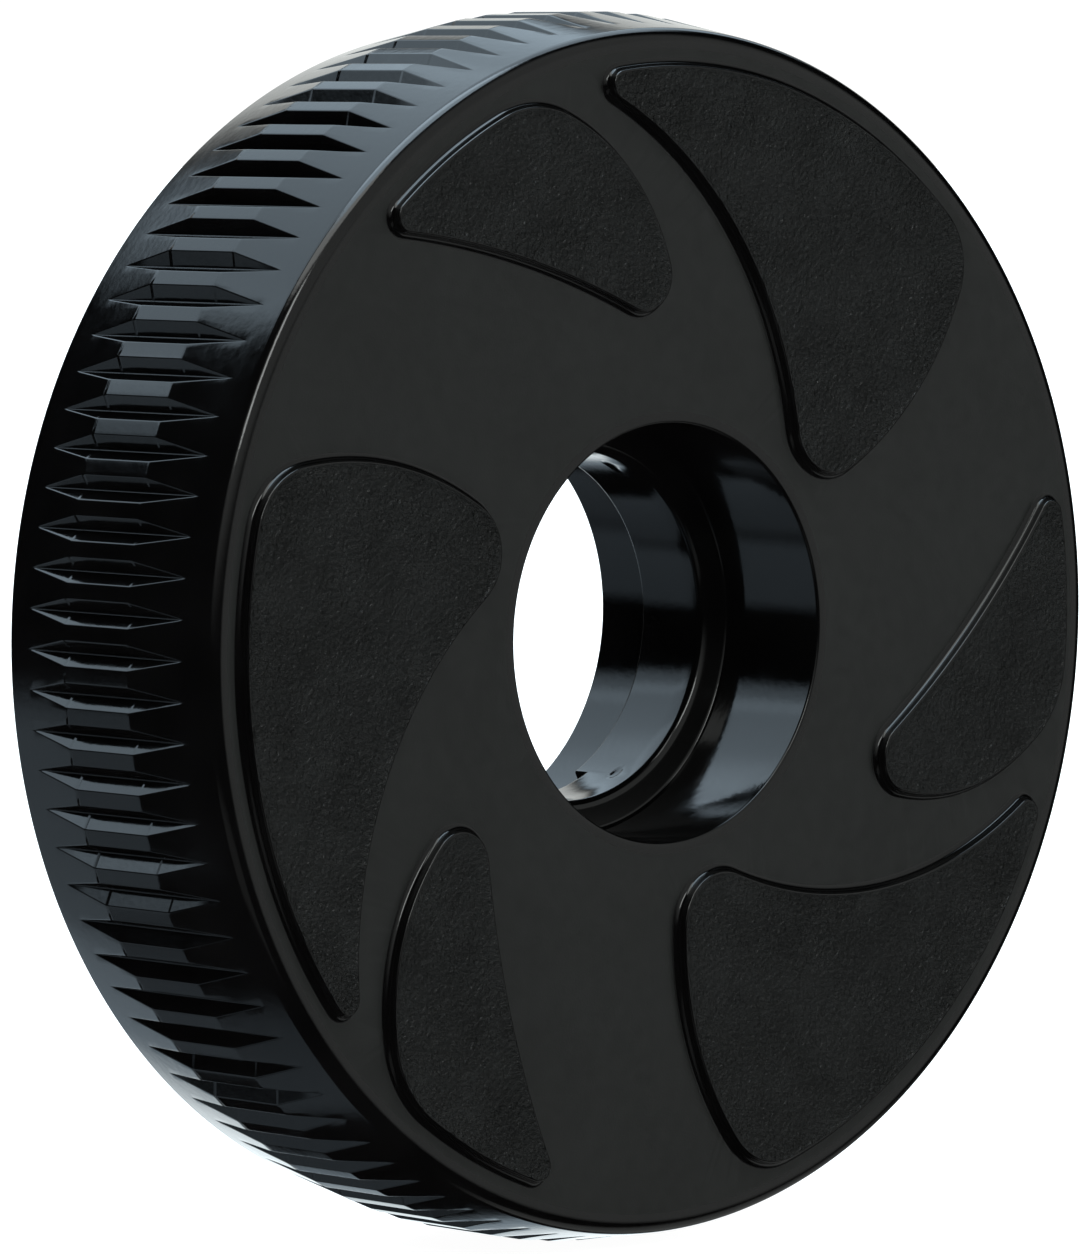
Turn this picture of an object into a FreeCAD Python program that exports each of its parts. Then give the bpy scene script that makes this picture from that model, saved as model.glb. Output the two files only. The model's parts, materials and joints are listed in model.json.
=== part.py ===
import FreeCAD, Part
import math
import os
from FreeCAD import Vector

# A moulded plastic wheel. Its axle axis is the Y axis, its patterned front face
# looks toward -Y, and it stands upright with +Z up. The origin is on the axle
# axis, midway between the tops of the front pads and the back of the hub.
# All lengths are in millimetres and all angles are in degrees.

# Rim and tread
WHEEL_RADIUS = 32.5
RIM_WIDTH = 15.9
FRONT_TAPER_LENGTH = 5.45
TREAD_FLAT_WIDTH = 4.9
TREAD_TAPER = 10.0
FRONT_EDGE_ROUNDING = 0.8
BACK_EDGE_ROUNDING = 0.3

# V grooves round the tread. The first one is centred on the X axis.
GROOVE_COUNT = 96
GROOVE_ROOT_RADIUS = 31.85
GROOVE_ANGLE = 90.0
GROOVE_CUTTER_TOP = WHEEL_RADIUS + 1.0

# Stepped bore
SEAT_RADIUS = 11.0
FRONT_SEAT_DEPTH = 7.0
INNER_RING_RADIUS = 9.27
INNER_RING_WIDTH = 4.8
INNER_RING_ROUNDING = 0.5
HUB_LENGTH = 16.8
BORE_MOUTH_ROUNDING = 0.25
CORNER_ROUNDING = 0.2

# Pry notch in the back edge of the inner ring
NOTCH_DEPTH = 0.9
NOTCH_CENTRE_ANGLE = -90.0
NOTCH_HALF_SPAN = 27.4

# Hollow back: web behind the front face, hub wall, rim wall and ribs
WEB_THICKNESS = 3.2
HUB_OUTER_RADIUS = 14.2
RIM_INNER_RADIUS = 28.6
WALL_DRAFT = 1.0
POCKET_ROUNDING = 0.8
RIB_COUNT = 6
RIB_THICKNESS = 2.0
RIB_SET_BACK = 2.0
RIB_OVERLAP = 0.6

# Raised pads on the front face. Each pad is bounded by three arcs, given as
# (centre x, centre z, radius, side): side is 1 where the pad lies inside that
# circle and -1 where it lies outside. Corner i joins arc i to arc i + 1, and is
# given as (rough x, rough z, rounding radius).
PAD_HEIGHT = 0.6
PAD_TOP_ROUNDING = 0.2
PAD_ROOT = 0.4
PAD_SETS = 3
PAD_RIM_RADIUS = 29.8
LARGE_PAD_ARCS = [
    (0.0, 0.0, PAD_RIM_RADIUS, 1),
    (4.58, 24.10, 18.05, 1),
    (-14.38, 6.82, 23.41, -1),
]
LARGE_PAD_CORNERS = [(19.0, 18.0, 4.0), (11.0, 11.0, 3.0), (-4.0, 28.5, 0.9)]
SMALL_PAD_ARCS = [
    (0.0, 0.0, PAD_RIM_RADIUS, 1),
    (-12.14, 15.75, 12.40, 1),
    (-24.67, -32.82, 54.28, -1),
]
SMALL_PAD_CORNERS = [(-10.0, 23.0, 6.0), (-2.0, 18.5, 2.0), (-19.0, 22.5, 0.9)]

# Places along the axle axis
OVERALL_LENGTH = PAD_HEIGHT + HUB_LENGTH
FACE_Y = PAD_HEIGHT - OVERALL_LENGTH / 2
HUB_BACK_Y = FACE_Y + HUB_LENGTH
RIM_BACK_Y = FACE_Y + RIM_WIDTH
SHOULDER_Y = FACE_Y + FRONT_SEAT_DEPTH
RING_BACK_Y = SHOULDER_Y + INNER_RING_WIDTH
WEB_BACK_Y = FACE_Y + WEB_THICKNESS

ORIGIN = Vector(0, 0, 0)
AXLE = Vector(0, 1, 0)


def cone_drop(length, angle):
    """How far a line leaning by angle moves sideways over length."""
    return length * math.tan(math.radians(angle))


def rounded_profile(corners):
    """A closed wire through (x, y, rounding) corners, with tangent arcs."""
    edges = []
    ends = []
    count = len(corners)
    for i in range(count):
        x, y, rounding = corners[i]
        corner = Vector(x, y, 0)
        before = Vector(*corners[i - 1][:2], 0) - corner
        after = Vector(*corners[(i + 1) % count][:2], 0) - corner
        before.normalize()
        after.normalize()
        if rounding == 0:
            ends.append((corner, corner))
            continue
        half = before.getAngle(after) / 2
        reach = rounding / math.tan(half)
        middle = (before + after).normalize() * (rounding / math.sin(half) - rounding)
        start = corner + before * reach
        end = corner + after * reach
        edges.append(Part.Arc(start, corner + middle, end).toShape())
        ends.append((start, end))
    for i in range(count):
        edges.append(Part.LineSegment(ends[i - 1][1], ends[i][0]).toShape())
    return Part.Wire(Part.__sortEdges__(edges))


def turned_body():
    """The wheel without grooves, ribs or pads, turned about the axle axis."""
    front_edge = WHEEL_RADIUS - cone_drop(FRONT_TAPER_LENGTH, TREAD_TAPER)
    back_taper_length = RIM_WIDTH - FRONT_TAPER_LENGTH - TREAD_FLAT_WIDTH
    back_edge = WHEEL_RADIUS - cone_drop(back_taper_length, TREAD_TAPER)
    rim_lean = cone_drop(RIM_BACK_Y - WEB_BACK_Y, WALL_DRAFT)
    hub_lean = cone_drop(HUB_BACK_Y - WEB_BACK_Y, WALL_DRAFT)
    flat_start = FACE_Y + FRONT_TAPER_LENGTH
    profile = rounded_profile([
        (SEAT_RADIUS, FACE_Y, BORE_MOUTH_ROUNDING),
        (front_edge, FACE_Y, FRONT_EDGE_ROUNDING),
        (WHEEL_RADIUS, flat_start, 0),
        (WHEEL_RADIUS, flat_start + TREAD_FLAT_WIDTH, 0),
        (back_edge, RIM_BACK_Y, BACK_EDGE_ROUNDING),
        (RIM_INNER_RADIUS, RIM_BACK_Y, BACK_EDGE_ROUNDING),
        (RIM_INNER_RADIUS - rim_lean, WEB_BACK_Y, POCKET_ROUNDING),
        (HUB_OUTER_RADIUS, WEB_BACK_Y, POCKET_ROUNDING),
        (HUB_OUTER_RADIUS - hub_lean, HUB_BACK_Y, BACK_EDGE_ROUNDING),
        (SEAT_RADIUS, HUB_BACK_Y, BORE_MOUTH_ROUNDING),
        (SEAT_RADIUS, RING_BACK_Y, CORNER_ROUNDING),
        (INNER_RING_RADIUS, RING_BACK_Y, CORNER_ROUNDING),
        (INNER_RING_RADIUS, SHOULDER_Y, INNER_RING_ROUNDING),
        (SEAT_RADIUS, SHOULDER_Y, CORNER_ROUNDING),
    ])
    return Part.Face(profile).revolve(ORIGIN, AXLE, 360)


def groove_cutters():
    """One V-shaped bar for each groove, its root line parallel to the axle."""
    depth = GROOVE_CUTTER_TOP - GROOVE_ROOT_RADIUS
    half_width = cone_drop(depth, GROOVE_ANGLE / 2)
    root = Vector(GROOVE_ROOT_RADIUS, FACE_Y, 0)
    left = Vector(GROOVE_CUTTER_TOP, FACE_Y, half_width)
    right = Vector(GROOVE_CUTTER_TOP, FACE_Y, -half_width)
    section = Part.Face(Part.makePolygon([root, left, right, root]))
    bar = section.extrude(Vector(0, RIM_WIDTH, 0))
    bars = []
    for i in range(GROOVE_COUNT):
        copy = bar.copy()
        copy.rotate(ORIGIN, AXLE, i * 360.0 / GROOVE_COUNT)
        bars.append(copy)
    return Part.makeCompound(bars)


def ribs():
    """Straight ribs in the hollow back, from the hub wall to the rim wall."""
    inner = HUB_OUTER_RADIUS - RIB_OVERLAP
    outer = RIM_INNER_RADIUS + RIB_OVERLAP
    depth = RIM_BACK_Y - RIB_SET_BACK - WEB_BACK_Y + RIB_OVERLAP
    corner = Vector(inner, WEB_BACK_Y - RIB_OVERLAP, -RIB_THICKNESS / 2)
    rib = Part.makeBox(outer - inner, depth, RIB_THICKNESS, corner)
    shapes = []
    for i in range(RIB_COUNT):
        copy = rib.copy()
        copy.rotate(ORIGIN, AXLE, i * 360.0 / RIB_COUNT)
        shapes.append(copy)
    return shapes


def pry_notch():
    """A shallow sector cut from the back edge of the inner ring, out to the foot of the seat wall."""
    reach = SEAT_RADIUS - CORNER_ROUNDING
    y = RING_BACK_Y - NOTCH_DEPTH
    rim = []
    for step in (-1, 0, 1):
        angle = math.radians(NOTCH_CENTRE_ANGLE + step * NOTCH_HALF_SPAN)
        rim.append(Vector(reach * math.cos(angle), y, reach * math.sin(angle)))
    centre = Vector(0, y, 0)
    edges = [
        Part.LineSegment(centre, rim[0]).toShape(),
        Part.Arc(*rim).toShape(),
        Part.LineSegment(rim[2], centre).toShape(),
    ]
    return Part.Face(Part.Wire(edges)).extrude(Vector(0, NOTCH_DEPTH, 0))


def circle_meeting(first, second, near):
    """The point nearest near where two (x, z, radius) circles cross."""
    dx = second[0] - first[0]
    dz = second[1] - first[1]
    gap = math.hypot(dx, dz)
    along = (gap ** 2 + first[2] ** 2 - second[2] ** 2) / (2 * gap)
    across = math.sqrt(first[2] ** 2 - along ** 2)
    options = []
    for side in (1, -1):
        x = first[0] + (along * dx - side * across * dz) / gap
        z = first[1] + (along * dz + side * across * dx) / gap
        options.append((x, z))
    return min(options, key=lambda point: math.dist(point, near))


def pushed_out(centre, towards, radius):
    """The point at radius from centre, in the direction of another point."""
    scale = radius / math.dist(centre, towards)
    return tuple(c + (t - c) * scale for c, t in zip(centre, towards))


def short_arc(centre, radius, start, end, y):
    """The shorter arc about centre from start to end, in the plane at y."""
    chord_middle = ((start[0] + end[0]) / 2, (start[1] + end[1]) / 2)
    crown = pushed_out(centre, chord_middle, radius)
    points = [Vector(x, y, z) for x, z in (start, crown, end)]
    return Part.Arc(*points).toShape()


def pad_outline(arcs, corners, y):
    """The closed outline of a pad: three arcs joined by rounded corners."""
    count = len(arcs)
    roundings = []
    for i in range(count):
        near_x, near_z, rounding = corners[i]
        sides = []
        for x, z, radius, side in (arcs[i], arcs[(i + 1) % count]):
            sides.append((x, z, radius - side * rounding))
        centre = circle_meeting(*sides, (near_x, near_z))
        ends = []
        for x, z, radius, side in (arcs[i], arcs[(i + 1) % count]):
            ends.append(pushed_out((x, z), centre, radius))
        roundings.append((centre, rounding, *ends))
    edges = []
    for i in range(count):
        x, z, radius, side = arcs[i]
        leaves = roundings[i - 1][3]
        arrives = roundings[i][2]
        edges.append(short_arc((x, z), radius, leaves, arrives, y))
        edges.append(short_arc(*roundings[i], y))
    return Part.Wire(edges)


def raised_pad(arcs, corners):
    """A pad standing on the front face, its root sunk into the web."""
    outline = pad_outline(arcs, corners, FACE_Y + PAD_ROOT)
    pad = Part.Face(outline).extrude(Vector(0, -PAD_ROOT - PAD_HEIGHT, 0))
    top_y = FACE_Y - PAD_HEIGHT
    top_edges = [edge for edge in pad.Edges
                 if all(abs(vertex.Y - top_y) < PAD_ROOT / 2 for vertex in edge.Vertexes)]
    return pad.makeFillet(PAD_TOP_ROUNDING, top_edges)


def pads():
    """Three large and three small pads, spread evenly round the front face."""
    shapes = []
    for pad in (raised_pad(LARGE_PAD_ARCS, LARGE_PAD_CORNERS), raised_pad(SMALL_PAD_ARCS, SMALL_PAD_CORNERS)):
        for i in range(PAD_SETS):
            copy = pad.copy()
            copy.rotate(ORIGIN, AXLE, i * 360.0 / PAD_SETS)
            shapes.append(copy)
    return shapes


def wheel():
    """The whole moulding: turned body with ribs, pads, grooves and notch."""
    body = turned_body().fuse(ribs() + pads())
    return body.cut([groove_cutters(), pry_notch()]).removeSplitter()


os.makedirs("parts", exist_ok=True)
moulding = wheel()
moulding.exportStep("parts/wheel.step")
print("wheel", moulding.isValid(), len(moulding.Solids), "solids", round(moulding.Volume), "mm3")
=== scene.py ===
import json
import math
import bmesh
import bpy
import numpy as np
from mathutils import Matrix, Vector
from mathutils.geometry import delaunay_2d_cdt


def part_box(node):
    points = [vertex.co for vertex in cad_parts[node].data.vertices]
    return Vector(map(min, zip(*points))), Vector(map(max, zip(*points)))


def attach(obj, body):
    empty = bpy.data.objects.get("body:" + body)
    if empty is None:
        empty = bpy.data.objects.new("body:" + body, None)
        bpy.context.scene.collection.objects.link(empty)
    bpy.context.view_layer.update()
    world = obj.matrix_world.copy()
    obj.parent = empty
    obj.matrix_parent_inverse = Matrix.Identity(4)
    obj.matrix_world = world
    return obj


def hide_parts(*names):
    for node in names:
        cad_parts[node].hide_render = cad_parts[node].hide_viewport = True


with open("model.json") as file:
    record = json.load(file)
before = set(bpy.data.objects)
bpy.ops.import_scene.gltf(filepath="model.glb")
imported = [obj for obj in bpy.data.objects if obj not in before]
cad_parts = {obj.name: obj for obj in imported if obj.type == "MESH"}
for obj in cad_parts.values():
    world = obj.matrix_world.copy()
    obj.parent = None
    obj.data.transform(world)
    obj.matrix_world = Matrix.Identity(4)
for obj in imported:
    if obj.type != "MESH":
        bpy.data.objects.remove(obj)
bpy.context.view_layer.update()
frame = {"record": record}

# A moulded plastic wheel with its axle along Y, its patterned face toward -Y and +Z up. The mesh is worked
# out in millimetres and scaled to metres at the end. Angles are in degrees, from +X toward +Z.
MM = 0.001
LOW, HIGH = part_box("wheel")
MOUNTS = {mount["name"]: mount for mount in frame["record"]["mounts"]}

# Places along the axle axis
PAD_HEIGHT = 0.6
PAD_TOP_Y = LOW.y / MM
FACE_Y = PAD_TOP_Y + PAD_HEIGHT
RIM_BACK_Y = FACE_Y + 15.9
HUB_BACK_Y = HIGH.y / MM
SHOULDER_Y = FACE_Y + 7.0
RING_BACK_Y = SHOULDER_Y + 4.8
WEB_BACK_Y = FACE_Y + 3.2
RIB_TOP_Y = RIM_BACK_Y - 2.0

# Flat areas start this far in from the corner where they would meet the next wall
FACE_BORDER = 1.0
EDGE_BORDER = 0.6

# Rim and tread
WHEEL_RADIUS = 32.5
TREAD_TAPER = 10.0
FLAT_START_Y = FACE_Y + 5.45
PARTING_Y = FLAT_START_Y + 4.9
FACE_EDGE_ROUNDING = 0.8
FACE_EDGE_STEPS = 10
BACK_EDGE_ROUNDING = 0.3
TREAD_CORNER_ROUNDING = 0.05
# A ring of points this far beside a rounding keeps the shading of the flat area next to it even
TREAD_GUARD = 0.05

# V grooves
GROOVE_COUNT = 96
GROOVE_ROOT_RADIUS = 31.85
GROOVE_ROOT_ROUNDING = 0.05
GROOVE_LIP_ROUNDING = 0.12
# The narrowest half width that takes both roundings whole: in a narrower groove they shrink with it
GROOVE_FULL_WIDTH = 0.7 * GROOVE_ROOT_ROUNDING + 0.3 * GROOVE_LIP_ROUNDING + 0.02
RIM_COLUMNS = 4 * GROOVE_COUNT
FRONT_TAPER_STATIONS = (0.12, 0.5)
BACK_TAPER_STATIONS = (0.5, 0.88)

# The parting line is two fine sunk lines side by side, deepest on one side of each land
PARTING_DEPTH = 0.045
PARTING_WIDTH = 0.09
PARTING_DEEP_SIDE = -0.3
PARTING_SHALLOW_SHARE = 0.35
PARTING_LEAST_SHARE = 0.6
PARTING_WAVES = (2.4, 0.7)

# Stepped bore
SEAT_RADIUS = MOUNTS["front_bearing_seat"]["dims"]["r_mm"]
RING_RADIUS = MOUNTS["inner_ring_passage"]["dims"]["r_mm"]
MOUTH_ROUNDING = 0.15
CORNER_ROUNDING = 0.2
RING_ROUNDING = 0.5
BORE_COLUMNS = 288
NOTCH_DEPTH = 0.9
NOTCH_ANGLES = (-117.4, -62.6)
NOTCH_SPLIT = 1e-9
GATE_ANGLES = (63.7, -61.4, 181.0)
GATE_Y = FACE_Y + 8.75
GATE_SIZE = (0.55, 0.35)
GATE_DEPTH = 0.1
GATE_ROWS = 4
GATE_ROW_STEP = 0.1

# Hollow back
HUB_RADIUS = 14.2
RIM_INNER_RADIUS = 28.6
WALL_DRAFT = 1.0
RIB_COUNT = 6
RIB_HALF_THICKNESS = 0.9
RIB_TOP_ROUNDING = 0.2
POCKET_CORNER = 1.6
POCKET_FLOOR_ROUNDING = 0.8
EJECTOR_RADIUS = 1.6
EJECTOR_DEPTH = 0.08
EJECTOR_PLACE = 21.0
EJECTOR_SIDES = 40
POCKET_CORNER_STEPS = 6
RIB_STEPS = 6
HUB_ARC_STEPS = 8
RIM_ARC_STEPS = 16

# Raised pads: each is bounded by three arcs (centre x, centre z, radius, side), where side is 1 if the pad
# lies inside that circle and -1 if outside, and each corner (rough x, rough z, rounding) joins two arcs.
PAD_SETS = 3
PAD_RIM_RADIUS = 29.8
LARGE_PAD = (
    [(0.0, 0.0, PAD_RIM_RADIUS, 1), (4.58, 24.10, 18.05, 1), (-14.38, 6.82, 23.41, -1)],
    [(19.0, 18.0, 4.0), (11.0, 11.0, 3.0), (-4.0, 28.5, 0.9)],
)
SMALL_PAD = (
    [(0.0, 0.0, PAD_RIM_RADIUS, 1), (-12.14, 15.75, 12.40, 1), (-24.67, -32.82, 54.28, -1)],
    [(-10.0, 23.0, 6.0), (-2.0, 18.5, 2.0), (-19.0, 22.5, 0.9)],
)
PAD_FOOT_ROUNDING = 0.36
PAD_TOP_ROUNDING = 0.12
PAD_WALL_INSET = 0.09
PAD_WALL_LEAN = 0.02
PAD_POINT_SPACING = 0.25
PAD_LEAST_STEPS = 6

# Grain on the pad tops: coarse cells and finer ones over them, on a triangular lattice of points
GRAIN_SPACING = 0.125
GRAIN_ROW_SPACING = 0.866
GRAIN_EDGE_GAP = 0.8
GRAIN_DEPTH = 0.1
GRAIN_CELL = 0.34
GRAIN_FINE_SCALE = 0.6
GRAIN_FINE_SHIFT = 0.1
GRAIN_FINE_STRETCH = 1.1
GRAIN_COARSE_SHARE = 0.65
GRAIN_FINE_SHARE = 0.35
GRAIN_LOWEST_CROWN = 0.5
GRAIN_STEEPNESS = 1.6
GRAIN_ROUNDNESS = 0.7
GRAIN_TILE = 64
GRAIN_BORDER = 0.3
GRAIN_FADE = 0.6
GRAIN_SEED = 7

WELD_DISTANCE = 0.0005
SAME_PLACE = 1e-6
SHARP_ANGLE = 40.0
ARC_STEPS = 5

FINISHES = ("gloss", "satin", "grain")


# ---------------------------------------------------------------- mesh tools

class Moulding:
    """Collects the patches of one closed surface, each with the finish it has."""

    def __init__(self):
        self.points = []
        self.faces = []
        self.finishes = []

    def add(self, points, faces, finish):
        start = len(self.points)
        self.points.extend(points)
        self.faces.extend([tuple(start + corner for corner in face) for face in faces])
        self.finishes.extend([FINISHES.index(finish)] * len(faces))

    def add_grid(self, rows, finish):
        """A surface through closed rings of points that all have the same count."""
        count = len(rows[0])
        faces = []
        for i in range(len(rows) - 1):
            for j in range(count):
                k = (j + 1) % count
                faces.append((i * count + j, i * count + k, (i + 1) * count + k, (i + 1) * count + j))
        self.add([point for row in rows for point in row], faces, finish)

    def add_flat(self, loops, y, finish):
        """A flat area at y: the first (x, z) loop is its edge and the others are holes."""
        flat, faces = filled(loops)
        self.add([(x, y, z) for x, z in flat], faces, finish)


def filled(loops, inside=()):
    """Points and triangles of a flat area between loops, through the points inside it too."""
    points = []
    edges = []
    for loop in loops:
        start = len(points)
        count = len(loop)
        points.extend(loop)
        edges.extend([(start + i, start + (i + 1) % count) for i in range(count)])
    points.extend(inside)
    result = delaunay_2d_cdt([Vector(point) for point in points], edges, [], 0, SAME_PLACE)
    flat = np.array([tuple(point) for point in result[0]])
    triangles = np.array(result[2])
    kept = triangles[within(flat[triangles].mean(axis=1), loops)]
    return flat.tolist(), kept.tolist()


def within(points, loops):
    """Whether each point is inside an odd number of the loops: in the first and in none of its holes."""
    odd = np.zeros(len(points), bool)
    x, z = points[:, 0], points[:, 1]
    for loop in loops:
        for (x1, z1), (x2, z2) in zip(loop, loop[1:] + loop[:1]):
            crosses = (z1 > z) != (z2 > z)
            if crosses.any():
                odd ^= crosses & (x < x1 + (z - z1) * (x2 - x1) / (z2 - z1))
    return odd


def on_circle(radius, angle):
    return (radius * math.cos(math.radians(angle)), radius * math.sin(math.radians(angle)))


def circle(radius, angles):
    return [on_circle(radius, angle) for angle in angles]


def turned(loop, angle):
    """A loop of (x, z) points turned about the axle."""
    c = math.cos(math.radians(angle))
    s = math.sin(math.radians(angle))
    return [(x * c - z * s, x * s + z * c) for x, z in loop]


def at_y(loop, y):
    return [(x, y, z) for x, z in loop]


def even_angles(count):
    return [i * 360.0 / count for i in range(count)]


def drop(length, angle):
    """How far a line leaning by angle moves sideways over length."""
    return length * math.tan(math.radians(angle))


def rounded_path(corners, steps=ARC_STEPS):
    """Points (radius, y) along a line through (radius, y, rounding) corners, with arcs at rounded ones."""
    path = []
    for i, (radius, y, rounding) in enumerate(corners):
        here = Vector((radius, y))
        if rounding == 0:
            path.append((radius, y))
            continue
        before = (Vector(corners[i - 1][:2]) - here).normalized()
        after = (Vector(corners[i + 1][:2]) - here).normalized()
        half = before.angle(after) / 2
        reach = rounding / math.tan(half)
        centre = here + (before + after).normalized() * (rounding / math.sin(half))
        first = here + before * reach - centre
        last = here + after * reach - centre
        turn = math.pi - 2 * half
        for k in range(steps + 1):
            share = k / steps
            arm = first * math.sin((1 - share) * turn) + last * math.sin(share * turn)
            point = centre + arm / math.sin(turn)
            path.append((point.x, point.y))
    return path


def revolved(path, angles):
    """One ring of points for each (radius, y) of the path."""
    return [at_y(circle(radius, angles), y) for radius, y in path]


# ---------------------------------------------------------------- tread

def tread_radius(y):
    """The tread's radius at y, without its grooves."""
    outside = max(FLAT_START_Y - y, y - PARTING_Y, 0)
    return WHEEL_RADIUS - drop(outside, TREAD_TAPER)


def groove_half_width(radius):
    """Half the width of a groove where the tread has this radius: 0 where the groove has run out."""
    if radius <= GROOVE_ROOT_RADIUS:
        return 0.0
    return (math.sqrt(2 * radius ** 2 - GROOVE_ROOT_RADIUS ** 2) - GROOVE_ROOT_RADIUS) / 2


def groove_side(radius):
    """Points (across, outward) of a pitch's right half, from the groove's root to the land's middle."""
    edge = groove_half_width(radius)
    share = min(1.0, edge / GROOVE_FULL_WIDTH)
    root = GROOVE_ROOT_ROUNDING * share
    lip = GROOVE_LIP_ROUNDING * share
    points = []
    for turn in (0.0, 22.5, 45.0):
        across = root * math.sin(math.radians(turn))
        rise = root * (math.sqrt(2) - math.cos(math.radians(turn)))
        points.append((across, min(GROOVE_ROOT_RADIUS, radius) + rise))
    reach = lip * math.tan(math.radians(22.5))
    centre = (edge + reach, math.sqrt(radius ** 2 - edge ** 2) - lip)
    for turn in (45.0, 30.0, 15.0, 0.0):
        across = centre[0] - lip * math.sin(math.radians(turn))
        points.append((across, centre[1] + lip * math.cos(math.radians(turn))))
    half_pitch = radius * math.radians(180.0 / GROOVE_COUNT)
    land_start = edge + reach
    for part in (0.5, 1.0):
        across = land_start + (half_pitch - land_start) * part
        points.append((across, radius * math.cos(across / radius)))
    return points


def tread_ring(y, sunk):
    """One closed ring round the grooved tread, sunk by up to this much where the parting line is."""
    radius = tread_radius(y)
    right = groove_side(radius)
    left = [(-across, outward) for across, outward in right[-2:0:-1]]
    ring = []
    for i in range(GROOVE_COUNT):
        middle = i * 360.0 / GROOVE_COUNT
        for across, outward in left + right:
            angle = middle + math.degrees(math.atan2(across, outward))
            reach = math.hypot(across, outward) - sunk * parting_share(i, across)
            x, z = on_circle(reach, angle)
            ring.append((x, y, z))
    return ring


def parting_share(groove, across):
    """How deep the parting line is here, from 0 to 1. It wanders from groove to groove."""
    quick, slow = PARTING_WAVES
    wander = 0.5 + 0.5 * math.sin(groove * quick) * math.sin(groove * slow + 1.0)
    side = 1.0 if across < PARTING_DEEP_SIDE else PARTING_SHALLOW_SHARE
    return side * (PARTING_LEAST_SHARE + (1 - PARTING_LEAST_SHARE) * wander)


def runout_y(side):
    """Where the grooves run out on the front (-1) or back (1) taper."""
    length = (WHEEL_RADIUS - GROOVE_ROOT_RADIUS) / math.tan(math.radians(TREAD_TAPER))
    return FLAT_START_Y - length if side < 0 else PARTING_Y + length


def add_tread(moulding):
    front = runout_y(-1)
    back = runout_y(1)
    corner = TREAD_CORNER_ROUNDING
    guard = corner + TREAD_GUARD
    line = PARTING_WIDTH / 2
    margin = 2 * line + TREAD_GUARD
    stations = [(front, 0.0)]
    stations += [(front + (FLAT_START_Y - front) * part, 0.0) for part in FRONT_TAPER_STATIONS]
    stations += [(FLAT_START_Y + step, 0.0) for step in (-guard, -corner, corner, guard)]
    stations += [(PARTING_Y - margin, 0.0), (PARTING_Y - 2 * line, 0.0)]
    stations += [(PARTING_Y - line, PARTING_DEPTH), (PARTING_Y, 0.0)]
    stations += [(PARTING_Y + line, PARTING_DEPTH), (PARTING_Y + 2 * line, 0.0)]
    stations += [(PARTING_Y + margin, 0.0)]
    stations += [(PARTING_Y + (back - PARTING_Y) * part, 0.0) for part in BACK_TAPER_STATIONS]
    stations += [(back, 0.0)]
    moulding.add_grid([tread_ring(y, sunk) for y, sunk in stations], "gloss")


def face_edge_path():
    """The front of the rim, from the start of the grooves over the rounded edge to the face."""
    front = runout_y(-1)
    return rounded_path([
        (tread_radius(front), front, 0),
        (tread_radius(FACE_Y), FACE_Y, FACE_EDGE_ROUNDING),
        (tread_radius(FACE_Y) - FACE_BORDER, FACE_Y, 0),
    ], FACE_EDGE_STEPS)


def back_edge_path():
    """The back of the rim, from the end of the grooves over the rounded edge to the rim's back."""
    back = runout_y(1)
    return rounded_path([
        (tread_radius(back), back, 0),
        (tread_radius(RIM_BACK_Y), RIM_BACK_Y, BACK_EDGE_ROUNDING),
        (tread_radius(RIM_BACK_Y) - EDGE_BORDER, RIM_BACK_Y, 0),
    ])


def add_rim_edges(moulding):
    angles = even_angles(RIM_COLUMNS)
    moulding.add_grid(revolved(face_edge_path(), angles), "gloss")
    moulding.add_grid(revolved(back_edge_path(), angles), "gloss")


# ---------------------------------------------------------------- pads and face

def circle_meeting(first, second, near):
    """The point nearest near where two (x, z, radius) circles cross."""
    dx = second[0] - first[0]
    dz = second[1] - first[1]
    gap = math.hypot(dx, dz)
    along = (gap ** 2 + first[2] ** 2 - second[2] ** 2) / (2 * gap)
    across = math.sqrt(first[2] ** 2 - along ** 2)
    options = []
    for side in (1, -1):
        x = first[0] + (along * dx - side * across * dz) / gap
        z = first[1] + (along * dz + side * across * dx) / gap
        options.append((x, z))
    return min(options, key=lambda point: math.dist(point, near))


def arc_points(centre, radius, start, end, side):
    """Points and outward directions along the short way round an arc, without its end."""
    first = math.atan2(start[1] - centre[1], start[0] - centre[0])
    last = math.atan2(end[1] - centre[1], end[0] - centre[0])
    sweep = (last - first + math.pi) % (2 * math.pi) - math.pi
    steps = max(PAD_LEAST_STEPS, math.ceil(abs(sweep) * radius / PAD_POINT_SPACING))
    points = []
    for k in range(steps):
        angle = first + sweep * k / steps
        way = (math.cos(angle), math.sin(angle))
        place = (centre[0] + radius * way[0], centre[1] + radius * way[1])
        points.append((place, (side * way[0], side * way[1])))
    return points


def pad_outline(arcs, corners):
    """Points and outward directions all round a pad: three arcs joined by rounded corners."""
    count = len(arcs)
    roundings = []
    for i in range(count):
        near_x, near_z, rounding = corners[i]
        pair = (arcs[i], arcs[(i + 1) % count])
        sides = [(x, z, radius - side * rounding) for x, z, radius, side in pair]
        centre = circle_meeting(*sides, (near_x, near_z))
        ends = []
        for x, z, radius, side in pair:
            scale = radius / math.dist((x, z), centre)
            ends.append((x + (centre[0] - x) * scale, z + (centre[1] - z) * scale))
        roundings.append((centre, rounding, *ends))
    outline = []
    for i in range(count):
        x, z, radius, side = arcs[i]
        outline += arc_points((x, z), radius, roundings[i - 1][3], roundings[i][2], side)
        outline += arc_points(*roundings[i], 1)
    return outline


def grown(outline, distance):
    """The outline's points, moved outward by distance."""
    return [(x + u * distance, z + v * distance) for (x, z), (u, v) in outline]


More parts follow.
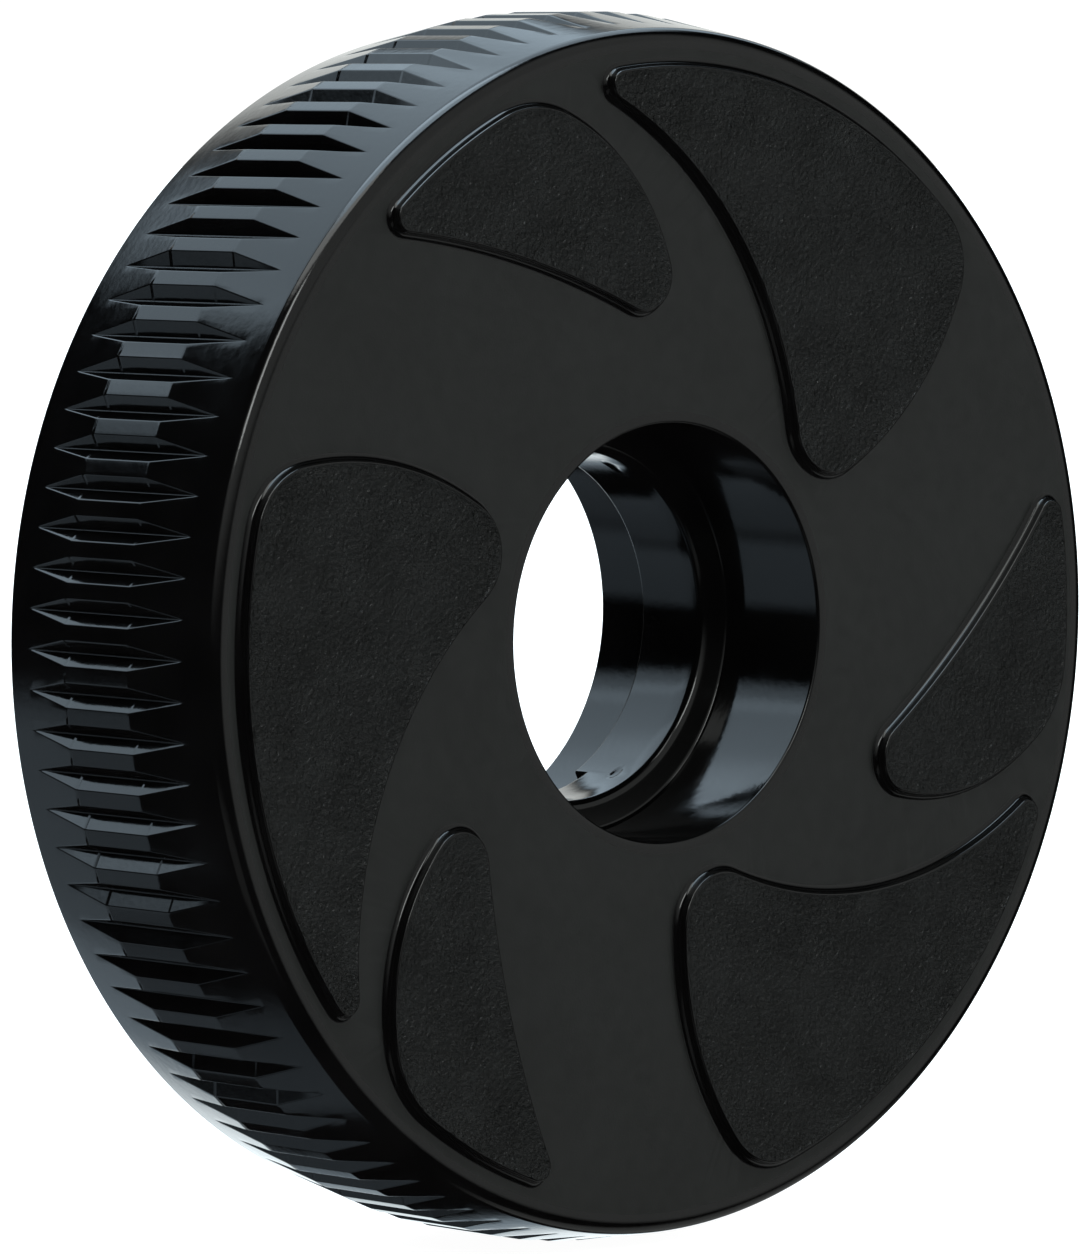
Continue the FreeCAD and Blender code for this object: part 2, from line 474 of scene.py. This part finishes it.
def pad_section():
    """Points (outward, height) up a pad's side: a hollow foot, the wall and a rounded top edge."""
    points = []
    for turn in (0, 18, 36, 54, 72, 90):
        angle = math.radians(turn)
        outward = PAD_FOOT_ROUNDING * (1 - math.sin(angle)) - PAD_WALL_INSET
        points.append((outward, PAD_FOOT_ROUNDING * (1 - math.cos(angle))))
    for turn in (0, 22.5, 45, 67.5, 90):
        angle = math.radians(turn)
        outward = -PAD_WALL_INSET - PAD_WALL_LEAN - PAD_TOP_ROUNDING * (1 - math.cos(angle))
        points.append((outward, PAD_HEIGHT - PAD_TOP_ROUNDING * (1 - math.sin(angle))))
    return points


def cell_field(x, z, cell, rng):
    """Rounded bumps in scattered cells: 1 at a bump's crown and 0 in the creases between bumps."""
    jitter = rng.random((GRAIN_TILE, GRAIN_TILE, 2))
    height = rng.random((GRAIN_TILE, GRAIN_TILE)) * (1 - GRAIN_LOWEST_CROWN) + GRAIN_LOWEST_CROWN
    column = np.floor(x / cell).astype(int)
    row = np.floor(z / cell).astype(int)
    nearest = np.full(len(x), np.inf)
    second = np.full(len(x), np.inf)
    crown = np.ones(len(x))
    for i in (-1, 0, 1):
        for j in (-1, 0, 1):
            a = (column + i) % GRAIN_TILE
            b = (row + j) % GRAIN_TILE
            u = (column + i + jitter[a, b, 0]) - x / cell
            v = (row + j + jitter[a, b, 1]) - z / cell
            gap = np.hypot(u, v)
            closer = gap < nearest
            second = np.where(closer, nearest, np.minimum(second, gap))
            crown = np.where(closer, height[a, b], crown)
            nearest = np.where(closer, gap, nearest)
    return np.clip((second - nearest) * GRAIN_STEEPNESS, 0, 1) ** GRAIN_ROUNDNESS * crown


def pebble_depth(x, z):
    """How deep the moulded grain lies below the pad's top at each point."""
    rng = np.random.default_rng(GRAIN_SEED)
    coarse = cell_field(x, z, GRAIN_CELL, rng)
    fine_z = z * GRAIN_FINE_STRETCH
    fine = cell_field(x + GRAIN_FINE_SHIFT, fine_z, GRAIN_CELL * GRAIN_FINE_SCALE, rng)
    return GRAIN_DEPTH * (1 - GRAIN_COARSE_SHARE * coarse - GRAIN_FINE_SHARE * fine)


def lattice(low, high, spacing):
    """Points of a triangular lattice over a box."""
    points = []
    rows = int((high[1] - low[1]) / (spacing * GRAIN_ROW_SPACING)) + 1
    columns = int((high[0] - low[0]) / spacing) + 1
    for i in range(rows):
        for j in range(columns):
            x = low[0] + (j + 0.5 * (i % 2)) * spacing
            points.append((x, low[1] + i * spacing * GRAIN_ROW_SPACING))
    return np.array(points)


def distance_to(points, loop):
    """Each point's distance to the nearest point of a loop."""
    loop = np.array(loop)
    nearest = np.full(len(points), np.inf)
    for place in loop:
        nearest = np.minimum(nearest, np.hypot(points[:, 0] - place[0], points[:, 1] - place[1]))
    return nearest


def pad_top(loop):
    """Points and triangles of a pad's grained top inside its edge loop."""
    edge = np.array(loop)
    spread = lattice(edge.min(0), edge.max(0), GRAIN_SPACING)
    spread = spread[distance_to(spread, loop) > GRAIN_SPACING * GRAIN_EDGE_GAP]
    flat, faces = filled([loop], [tuple(point) for point in spread])
    flat = np.array(flat)
    fade = np.clip(distance_to(flat, loop) / GRAIN_BORDER, 0, 1) ** GRAIN_FADE
    depth = pebble_depth(flat[:, 0], flat[:, 1]) * fade
    return [(x, PAD_TOP_Y + sunk, z) for (x, z), sunk in zip(flat, depth)], faces


def turned_points(points, angle):
    """Points of a patch turned about the axle."""
    flat = turned([(x, z) for x, _, z in points], angle)
    return [(x, y, z) for (x, z), (_, y, _) in zip(flat, points)]


def add_pads(moulding):
    """Adds the six pads and returns the loops where they meet the face."""
    feet = []
    for arcs, corners in (LARGE_PAD, SMALL_PAD):
        outline = pad_outline(arcs, corners)
        section = pad_section()
        top, faces = pad_top(grown(outline, section[-1][0]))
        for i in range(PAD_SETS):
            angle = i * 360.0 / PAD_SETS
            rings = [at_y(turned(grown(outline, outward), angle), FACE_Y - height)
                     for outward, height in section]
            moulding.add_grid(rings, "gloss")
            moulding.add(turned_points(top, angle), faces, "grain")
            feet.append(turned(grown(outline, section[0][0]), angle))
    return feet


def add_face(moulding, feet):
    edge = circle(face_edge_path()[-1][0], even_angles(RIM_COLUMNS))
    mouth = circle(bore_path(0)[0][0], bore_angles())
    moulding.add_flat([edge, mouth] + feet, FACE_Y, "satin")


# ---------------------------------------------------------------- bore

def bore_path(notch):
    """The bore's outline from the face to the hub's back. notch is how far the ring's back edge is cut."""
    back = RING_BACK_Y - notch
    steps = range(-GATE_ROWS, GATE_ROWS + 1)
    gate_rows = [(RING_RADIUS, GATE_Y + step * GATE_ROW_STEP, 0) for step in steps]
    return rounded_path([
        (SEAT_RADIUS + EDGE_BORDER, FACE_Y, 0),
        (SEAT_RADIUS, FACE_Y, MOUTH_ROUNDING),
        (SEAT_RADIUS, SHOULDER_Y, CORNER_ROUNDING),
        (RING_RADIUS, SHOULDER_Y, RING_ROUNDING),
        *gate_rows,
        (RING_RADIUS, back, CORNER_ROUNDING),
        (SEAT_RADIUS - CORNER_ROUNDING, back, 0),
        (SEAT_RADIUS - CORNER_ROUNDING, RING_BACK_Y, 0),
        (SEAT_RADIUS, RING_BACK_Y, CORNER_ROUNDING),
        (SEAT_RADIUS, HUB_BACK_Y, MOUTH_ROUNDING),
        (SEAT_RADIUS + EDGE_BORDER, HUB_BACK_Y, 0),
    ])


def bore_columns():
    """(angle, whether it is in the notch) all round, with both sides of each end of the notch.

    NOTCH_SPLIT only keeps the two columns at each end in order when they are sorted.
    """
    first, last = (angle % 360 for angle in NOTCH_ANGLES)
    columns = [(angle, first < angle < last) for angle in even_angles(BORE_COLUMNS)]
    columns += [(first, False), (first + NOTCH_SPLIT, True), (last - NOTCH_SPLIT, True), (last, False)]
    return sorted(columns)


def bore_angles():
    """The bore's angles without doubles."""
    first, last = (angle % 360 for angle in NOTCH_ANGLES)
    return sorted(even_angles(BORE_COLUMNS) + [first, last])


def gate_sink(angle, y):
    """How deep the mark of a gate is at a place on the ring's wall."""
    sink = 0.0
    for gate in GATE_ANGLES:
        away = (angle - gate + 180) % 360 - 180
        across = math.radians(away) * RING_RADIUS / GATE_SIZE[0]
        along = (y - GATE_Y) / GATE_SIZE[1]
        sink += GATE_DEPTH * max(0.0, 1 - across ** 2 - along ** 2)
    return sink


def add_bore(moulding):
    whole = bore_path(0)
    cut = bore_path(NOTCH_DEPTH)
    rows = []
    for full_point, cut_point in zip(whole, cut):
        row = []
        for angle, in_notch in bore_columns():
            radius, y = cut_point if in_notch else full_point
            if abs(radius - RING_RADIUS) < WELD_DISTANCE:
                radius += gate_sink(angle, y)
            x, z = on_circle(radius, angle)
            row.append((x, y, z))
        rows.append(row)
    moulding.add_grid(rows, "gloss")


# ---------------------------------------------------------------- hollow back

def hub_radius(y):
    return HUB_RADIUS - drop(y - WEB_BACK_Y, WALL_DRAFT)


def rim_radius(y):
    return RIM_INNER_RADIUS - drop(RIM_BACK_Y - y, WALL_DRAFT)


def sweep(centre, radius, start, end, steps, inward):
    """Arc points from start to end degrees, without the end, with directions into the pocket."""
    points = []
    for k in range(steps):
        angle = start + (end - start) * k / steps
        x, z = on_circle(radius, angle)
        u, v = on_circle(inward, angle)
        points.append(((centre[0] + x, centre[1] + z), (u, v)))
    return points


def pocket_half():
    """Half of a pocket's edge, from the middle of the hub's arc by one rib to the middle of the rim's arc."""
    hub = hub_radius(RIB_TOP_Y)
    rim = rim_radius(RIB_TOP_Y)
    corner = POCKET_CORNER
    level = RIB_HALF_THICKNESS + corner
    middle = 180.0 / RIB_COUNT
    near = (math.sqrt((hub + corner) ** 2 - level ** 2), level)
    far = (math.sqrt((rim - corner) ** 2 - level ** 2), level)
    near_angle = math.degrees(math.atan2(near[1], near[0]))
    far_angle = math.degrees(math.atan2(far[1], far[0]))
    half = [(point, 0.0) for point in sweep((0, 0), hub, middle, near_angle, HUB_ARC_STEPS, 1)]
    steps = POCKET_CORNER_STEPS
    bend = sweep(near, corner, 180 + near_angle, 270, steps, -1)
    half += [(point, k / steps) for k, point in enumerate(bend)]
    for k in range(RIB_STEPS):
        x = near[0] + (far[0] - near[0]) * k / RIB_STEPS
        half.append((((x, RIB_HALF_THICKNESS), (0.0, 1.0)), 1.0))
    bend = sweep(far, corner, -90, far_angle, steps, -1)
    half += [(point, 1 - k / steps) for k, point in enumerate(bend)]
    half += [(point, 0.0) for point in sweep((0, 0), rim, far_angle, middle, RIM_ARC_STEPS, -1)]
    return half, near_angle, far_angle


def mirrored_pocket(half):
    """A pocket's whole edge: its first half and the mirror image of it."""
    middle = math.radians(360.0 / RIB_COUNT)
    c = math.cos(middle)
    s = math.sin(middle)
    tip = on_circle(rim_radius(RIB_TOP_Y), 180.0 / RIB_COUNT)
    way = on_circle(-1, 180.0 / RIB_COUNT)
    other = []
    for ((x, z), (u, v)), share in half[:0:-1]:
        other.append((((x * c + z * s, x * s - z * c), (u * c + v * s, u * s - v * c)), share))
    return half + [((tip, way), 0.0)] + other


def pocket_ring(edge, inset, share_inset, y):
    """A pocket's edge moved inward by inset, and by share_inset where it runs along a rib."""
    ring = []
    for ((x, z), (u, v)), share in edge:
        distance = inset + share * share_inset
        ring.append((x + u * distance, y, z + v * distance))
    return ring


def pocket_rings(edge):
    """Rings down a pocket's walls, from the rounded top edges of the ribs to the floor."""
    rings = []
    for turn in (0, 30, 60, 90):
        angle = math.radians(turn)
        back = -RIB_TOP_ROUNDING * (1 - math.sin(angle))
        rings.append(pocket_ring(edge, 0, back, RIB_TOP_Y - RIB_TOP_ROUNDING * (1 - math.cos(angle))))
    lean = drop(RIB_TOP_Y - WEB_BACK_Y - POCKET_FLOOR_ROUNDING, WALL_DRAFT)
    for turn in (0, 18, 36, 54, 72, 90):
        angle = math.radians(turn)
        inset = lean + POCKET_FLOOR_ROUNDING * (1 - math.cos(angle))
        y = WEB_BACK_Y + POCKET_FLOOR_ROUNDING * (1 - math.sin(angle))
        rings.append(pocket_ring(edge, inset, 0, y))
    return rings


def add_pockets(moulding):
    half, near_angle, far_angle = pocket_half()
    edge = mirrored_pocket(half)
    rings = pocket_rings(edge)
    floor = [(x, z) for x, _, z in rings[-1]]
    mark = [(x + EJECTOR_PLACE, z) for x, z in circle(EJECTOR_RADIUS, even_angles(EJECTOR_SIDES))]
    mark = turned(mark, 180.0 / RIB_COUNT)
    for i in range(RIB_COUNT):
        angle = i * 360.0 / RIB_COUNT
        moulding.add_grid([turned_points(ring, angle) for ring in rings], "satin")
        pin = turned(mark, angle)
        moulding.add_flat([turned(floor, angle), pin], WEB_BACK_Y, "satin")
        moulding.add_grid([at_y(pin, WEB_BACK_Y), at_y(pin, WEB_BACK_Y - EJECTOR_DEPTH)], "satin")
        moulding.add_flat([pin], WEB_BACK_Y - EJECTOR_DEPTH, "satin")
    return edge, rings, near_angle, far_angle


def rib_arc(end_angle):
    """Angles across one rib, from one pocket's corner to the next one's."""
    return [end_angle * step / 2 for step in (-2, -1, 0, 1, 2)]


def wall_angles(edge, radius, end_angle):
    """All the angles at which the upper part of the hub wall or rim wall has points."""
    angles = []
    for ((x, z), _), share in edge:
        if abs(math.hypot(x, z) - radius) < SAME_PLACE and share == 0:
            angles.append(math.degrees(math.atan2(z, x)))
    angles += rib_arc(end_angle)
    whole = []
    for i in range(RIB_COUNT):
        whole += [round((angle + i * 360.0 / RIB_COUNT) % 360, 9) for angle in angles]
    return sorted(set(whole))


def add_ribs_and_walls(moulding, edge, rings, near_angle, far_angle):
    hub = hub_radius(RIB_TOP_Y)
    rim = rim_radius(RIB_TOP_Y)
    top = [(x, z) for x, _, z in rings[0]]
    count = len(top)
    along_rib = [i for i, (_, share) in enumerate(edge) if share > 0]
    first_side = [top[i] for i in along_rib if i < count / 2]
    start = on_circle(hub, near_angle)
    end = on_circle(rim, far_angle)
    upper = [start] + [p for p in first_side if math.dist(p, start) > SAME_PLACE] + [end]
    lower = [(x, -z) for x, z in reversed(upper)]
    hub_arc = circle(hub, rib_arc(near_angle))[1:-1]
    rim_arc = circle(rim, rib_arc(far_angle))[-2:0:-1]
    rib_top = upper + rim_arc + lower + hub_arc
    for i in range(RIB_COUNT):
        moulding.add_flat([turned(rib_top, i * 360.0 / RIB_COUNT)], RIB_TOP_Y, "satin")
    hub_angles = wall_angles(edge, hub, near_angle)
    rim_angles = wall_angles(edge, rim, far_angle)
    hub_path = rounded_path([
        (hub, RIB_TOP_Y, 0),
        (hub_radius(HUB_BACK_Y), HUB_BACK_Y, BACK_EDGE_ROUNDING),
        (hub_radius(HUB_BACK_Y) - EDGE_BORDER, HUB_BACK_Y, 0),
    ])
    rim_path = rounded_path([
        (rim, RIB_TOP_Y, 0),
        (rim_radius(RIM_BACK_Y), RIM_BACK_Y, BACK_EDGE_ROUNDING),
        (rim_radius(RIM_BACK_Y) + EDGE_BORDER, RIM_BACK_Y, 0),
    ])
    moulding.add_grid(revolved(hub_path, hub_angles), "satin")
    moulding.add_grid(revolved(rim_path, rim_angles), "satin")
    hub_edge = circle(hub_path[-1][0], hub_angles)
    mouth = circle(bore_path(0)[-1][0], bore_angles())
    moulding.add_flat([hub_edge, mouth], HUB_BACK_Y, "satin")
    rim_edge = circle(back_edge_path()[-1][0], even_angles(RIM_COLUMNS))
    moulding.add_flat([rim_edge, circle(rim_path[-1][0], rim_angles)], RIM_BACK_Y, "satin")


# ---------------------------------------------------------------- the wheel

def wheel_mesh(moulding):
    """One closed mesh from the patches, welded, scaled to metres, with even smooth shading."""
    mesh = bpy.data.meshes.new("wheel_moulding")
    mesh.from_pydata(moulding.points, [], moulding.faces)
    mesh.polygons.foreach_set("material_index", moulding.finishes)
    work = bmesh.new()
    work.from_mesh(mesh)
    bmesh.ops.remove_doubles(work, verts=work.verts, dist=WELD_DISTANCE)
    bmesh.ops.dissolve_degenerate(work, edges=work.edges, dist=WELD_DISTANCE)
    loose = [vertex for vertex in work.verts if not vertex.link_faces]
    bmesh.ops.delete(work, geom=loose, context="VERTS")
    bmesh.ops.recalc_face_normals(work, faces=work.faces)
    open_edges = sum(1 for edge in work.edges if len(edge.link_faces) != 2)
    print("wheel mesh:", len(work.faces), "faces,", open_edges, "open edges")
    work.to_mesh(mesh)
    work.free()
    mesh.transform(Matrix.Scale(MM, 4))
    mesh.shade_smooth()
    mesh.set_sharp_from_angle(angle=math.radians(SHARP_ANGLE))
    return mesh


def weight_normals(piece):
    """Turns each corner's normal toward its larger faces, so flat areas next to roundings stay flat."""
    weighted = piece.modifiers.new("weighted", "WEIGHTED_NORMAL")
    weighted.keep_sharp = True
    view = bpy.context.evaluated_depsgraph_get()
    final = bpy.data.meshes.new_from_object(piece.evaluated_get(view), depsgraph=view)
    piece.modifiers.clear()
    piece.data = final


def add_wheel():
    moulding = Moulding()
    add_tread(moulding)
    add_rim_edges(moulding)
    feet = add_pads(moulding)
    add_face(moulding, feet)
    add_bore(moulding)
    add_ribs_and_walls(moulding, *add_pockets(moulding))
    piece = bpy.data.objects.new("wheel_moulding", wheel_mesh(moulding))
    bpy.context.scene.collection.objects.link(piece)
    for finish in FINISHES:
        piece.data.materials.append(MATERIALS[finish]())
    weight_normals(piece)
    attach(piece, "root")
    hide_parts("wheel")


# ---------------------------------------------------------------- materials

NOISE_RANGE = (0.3, 0.7)


def new_material(name):
    material = bpy.data.materials.new(name)
    material.use_nodes = True
    nodes = material.node_tree.nodes
    shader = nodes["Principled BSDF"]
    return material, nodes, material.node_tree.links, shader


def noise(nodes, links, scale, detail, roughness=0.5):
    """A noise texture in the object's own space, with its scale in features per metre."""
    place = nodes.new("ShaderNodeTexCoord")
    texture = nodes.new("ShaderNodeTexNoise")
    texture.inputs["Scale"].default_value = scale
    texture.inputs["Detail"].default_value = detail
    texture.inputs["Roughness"].default_value = roughness
    links.new(place.outputs["Object"], texture.inputs["Vector"])
    return texture.outputs["Fac"]


def ranged(nodes, links, value, low, high):
    """The middle range of a noise stretched to run from low to high."""
    stretch = nodes.new("ShaderNodeMapRange")
    stretch.inputs["From Min"].default_value = NOISE_RANGE[0]
    stretch.inputs["From Max"].default_value = NOISE_RANGE[1]
    stretch.inputs["To Min"].default_value = low
    stretch.inputs["To Max"].default_value = high
    links.new(value, stretch.inputs["Value"])
    return stretch.outputs["Result"]


def tinted(nodes, links, value, dark, light):
    """A colour between dark and light, over the middle range of a noise."""
    ramp = nodes.new("ShaderNodeValToRGB")
    ramp.color_ramp.elements[0].position = NOISE_RANGE[0]
    ramp.color_ramp.elements[0].color = (*dark, 1)
    ramp.color_ramp.elements[1].position = NOISE_RANGE[1]
    ramp.color_ramp.elements[1].color = (*light, 1)
    links.new(value, ramp.inputs["Fac"])
    return ramp.outputs["Color"]


def bumped(nodes, links, shader, height, depth):
    """Gives the shader a fine relief that is depth metres deep."""
    bump = nodes.new("ShaderNodeBump")
    bump.inputs["Distance"].default_value = depth
    bump.inputs["Strength"].default_value = 1.0
    links.new(height, bump.inputs["Height"])
    links.new(bump.outputs["Normal"], shader.inputs["Normal"])


def moulded_plastic(name, cloud, dark, light, smooth, rough, sheen, relief, depth):
    """Black plastic whose colour, roughness and fine relief each follow a noise of their own.

    cloud, sheen and relief give those noises' features per metre, detail and, where it isn't the usual one,
    roughness. The plastic's own roughness runs from smooth to rough, and depth is in metres.
    """
    material, nodes, links, shader = new_material(name)
    colour = tinted(nodes, links, noise(nodes, links, *cloud), dark, light)
    links.new(colour, shader.inputs["Base Color"])
    roughness = ranged(nodes, links, noise(nodes, links, *sheen), smooth, rough)
    links.new(roughness, shader.inputs["Roughness"])
    bumped(nodes, links, shader, noise(nodes, links, *relief), depth)
    return material


def gloss_plastic():
    """Polished mould faces: the tread, the rounded edges, the sides of the pads and the bore."""
    return moulded_plastic(
        "gloss_black_plastic",
        cloud=(260, 3), dark=(0.0012, 0.0011, 0.0011), light=(0.0022, 0.0020, 0.0020),
        sheen=(900, 4), smooth=0.07, rough=0.13, relief=(2500, 3), depth=0.000004)


def satin_plastic():
    """The face and the back: fine sparked mould faces with a soft sheen."""
    return moulded_plastic(
        "satin_black_plastic",
        cloud=(120, 3), dark=(0.0046, 0.0050, 0.0044), light=(0.0064, 0.0069, 0.0062),
        sheen=(1400, 4), smooth=0.30, rough=0.38, relief=(9000, 2), depth=0.000004)


def grain_plastic():
    """The pad tops: the moulded grain with a finer roughness on its bumps."""
    return moulded_plastic(
        "grained_black_plastic",
        cloud=(400, 4), dark=(0.0034, 0.0036, 0.0034), light=(0.0076, 0.0079, 0.0075),
        sheen=(3000, 3), smooth=0.15, rough=0.23, relief=(4200, 3, 0.55), depth=0.00018)


MATERIALS = {"gloss": gloss_plastic, "satin": satin_plastic, "grain": grain_plastic}


def pale_floor_material():
    """A lit table top: it glows nearly white, so that shadows on it stay faint."""
    material, nodes, links, shader = new_material("pale_floor")
    colour = tinted(nodes, links, noise(nodes, links, 6, 2), (0.86, 0.86, 0.86), (0.9, 0.9, 0.9))
    links.new(colour, shader.inputs["Base Color"])
    shader.inputs["Roughness"].default_value = 0.9
    shader.inputs["Emission Color"].default_value = (1, 1, 1, 1)
    shader.inputs["Emission Strength"].default_value = FLOOR_GLOW
    return material


# ---------------------------------------------------------------- studio

FLOOR_Z = LOW.z
FLOOR_RADIUS = 4.0
FLOOR_SIDES = 96
FLOOR_GLOW = 0.97
BACKDROP_GLOW = 1.1
CAMERA_AZIMUTH = -42.956
CAMERA_ELEVATION = 3.993
CAMERA_DISTANCE = 0.44
CAMERA_AIM = (-0.00070, 0.00064, -0.00009)
LENS = 237.96
SENSOR_WIDTH = 36.0
CLIP_START = 0.01
CLIP_END = 50.0

# Soft light panels far round the wheel. Each has the azimuth and elevation of its middle, its half width,
# half height and edge softness, all in degrees, its brightness and its colour. Azimuth is 0 in front of the
# wheel and 90 to its right.
COOL = (0.80, 1.0, 1.16)
NEUTRAL = (1.0, 1.04, 1.02)
PANELS = (
    (166.0, 37.0, 60.0, 10.0, 3.0, 1.4, COOL),
    (166.0, 66.0, 75.0, 20.0, 4.0, 1.75, COOL),
    (0.0, 84.0, 180.0, 14.0, 3.0, 4.0, COOL),
    (-60.0, 63.0, 50.0, 7.0, 3.0, 2.5, NEUTRAL),
    (-143.0, 25.0, 11.0, 4.0, 3.0, 0.9, COOL),
    (-37.0, 36.0, 6.0, 13.0, 2.0, 6.0, NEUTRAL),
    (5.0, 32.0, 55.0, 26.0, 10.0, 0.42, NEUTRAL),
    (140.0, -2.0, 22.0, 24.0, 4.0, 1.0, NEUTRAL),
    (155.0, -21.0, 25.0, 12.0, 3.0, 0.52, COOL),
    (-155.0, -21.0, 25.0, 12.0, 3.0, 0.3, COOL),
    (-166.0, -48.0, 17.0, 14.0, 4.0, 0.2, COOL),
    (45.0, -5.0, 15.0, 13.0, 9.0, 0.42, NEUTRAL),
    (-45.0, -32.0, 25.0, 9.0, 5.0, 0.14, NEUTRAL),
    (90.0, -50.0, 30.0, 22.0, 8.0, 0.3, NEUTRAL),
)


def toward(azimuth, elevation):
    """The direction from the wheel to a place at that azimuth, 0 in front and 90 to the right."""
    a = math.radians(azimuth)
    e = math.radians(elevation)
    return Vector((math.sin(a) * math.cos(e), -math.cos(a) * math.cos(e), math.sin(e)))


def add_floor():
    """A pale round floor under the wheel. It is left out of reflections: its glow would show in the gloss."""
    mesh = bpy.data.meshes.new("floor")
    work = bmesh.new()
    bmesh.ops.create_circle(work, cap_ends=True, radius=FLOOR_RADIUS, segments=FLOOR_SIDES)
    work.to_mesh(mesh)
    work.free()
    floor = bpy.data.objects.new("floor", mesh)
    floor.location.z = FLOOR_Z
    floor.data.materials.append(pale_floor_material())
    floor.visible_glossy = False
    bpy.context.scene.collection.objects.link(floor)


def maths(nodes, links, operation, *values):
    """A math node's result. Each value is a number or another node's output."""
    node = nodes.new("ShaderNodeMath")
    node.operation = operation
    for socket, value in zip(node.inputs, values):
        if isinstance(value, (int, float)):
            socket.default_value = value
        else:
            links.new(value, socket)
    return node.outputs[0]


def panel_share(nodes, links, angle, middle, half, edge):
    """1 where the angle is within half of the middle, and 0 further off, with a soft edge."""
    away = maths(nodes, links, "SUBTRACT", angle, math.radians(middle))
    away = maths(nodes, links, "ABSOLUTE", maths(nodes, links, "WRAP", away, math.pi, -math.pi))
    fade = nodes.new("ShaderNodeMapRange")
    fade.interpolation_type = "SMOOTHSTEP"
    fade.inputs["From Min"].default_value = math.radians(half + edge)
    fade.inputs["From Max"].default_value = math.radians(half - edge)
    links.new(away, fade.inputs["Value"])
    return fade.outputs["Result"]


def panel_glow(nodes, links, azimuth, elevation, panel):
    """One panel's light, as seen in the direction of that azimuth and elevation."""
    side, height, half_width, half_height, edge, brightness, colour = panel
    across = panel_share(nodes, links, azimuth, side, half_width, edge)
    upward = panel_share(nodes, links, elevation, height, half_height, edge)
    glow = nodes.new("ShaderNodeVectorMath")
    glow.operation = "SCALE"
    glow.inputs[0].default_value = [channel * brightness for channel in colour]
    links.new(maths(nodes, links, "MULTIPLY", across, upward), glow.inputs["Scale"])
    return glow.outputs[0]


def added(nodes, links, first, second):
    """The sum of two lights."""
    total = nodes.new("ShaderNodeVectorMath")
    total.operation = "ADD"
    links.new(first, total.inputs[0])
    links.new(second, total.inputs[1])
    return total.outputs[0]


def white_for_camera(nodes, links, light):
    """Plain white where the camera sees the world itself, and the light everywhere else."""
    ray = nodes.new("ShaderNodeLightPath")
    seen = nodes.new("ShaderNodeMix")
    seen.data_type = "RGBA"
    sockets = [socket for socket in seen.inputs if socket.type == "RGBA"]
    links.new(ray.outputs["Is Camera Ray"], seen.inputs["Factor"])
    links.new(light, sockets[0])
    sockets[1].default_value = (BACKDROP_GLOW, BACKDROP_GLOW, BACKDROP_GLOW, 1)
    return [socket for socket in seen.outputs if socket.type == "RGBA"][0]


def add_world():
    """A dark studio with soft panels, and plain white behind the wheel."""
    world = bpy.data.worlds.new("studio")
    world.use_nodes = True
    nodes = world.node_tree.nodes
    links = world.node_tree.links
    place = nodes.new("ShaderNodeTexCoord")
    parts = nodes.new("ShaderNodeSeparateXYZ")
    links.new(place.outputs["Generated"], parts.inputs[0])
    elevation = maths(nodes, links, "ARCSINE", parts.outputs[2])
    forward = maths(nodes, links, "MULTIPLY", parts.outputs[1], -1.0)
    azimuth = maths(nodes, links, "ARCTAN2", parts.outputs[0], forward)
    glows = [panel_glow(nodes, links, azimuth, elevation, panel) for panel in PANELS]
    light = glows[0]
    for glow in glows[1:]:
        light = added(nodes, links, light, glow)
    links.new(white_for_camera(nodes, links, light), nodes["Background"].inputs["Color"])
    bpy.context.scene.world = world


def add_camera():
    camera = bpy.data.objects.new("camera", bpy.data.cameras.new("camera"))
    way = toward(CAMERA_AZIMUTH, CAMERA_ELEVATION)
    camera.location = Vector(CAMERA_AIM) + way * CAMERA_DISTANCE
    camera.rotation_euler = way.to_track_quat("Z", "Y").to_euler()
    camera.data.sensor_width = SENSOR_WIDTH
    camera.data.lens = LENS
    camera.data.clip_start = CLIP_START
    camera.data.clip_end = CLIP_END
    bpy.context.scene.collection.objects.link(camera)
    bpy.context.scene.camera = camera


def add_studio():
    add_camera()
    add_floor()
    add_world()
    bpy.context.scene.view_settings.view_transform = "Standard"


add_wheel()
add_studio()
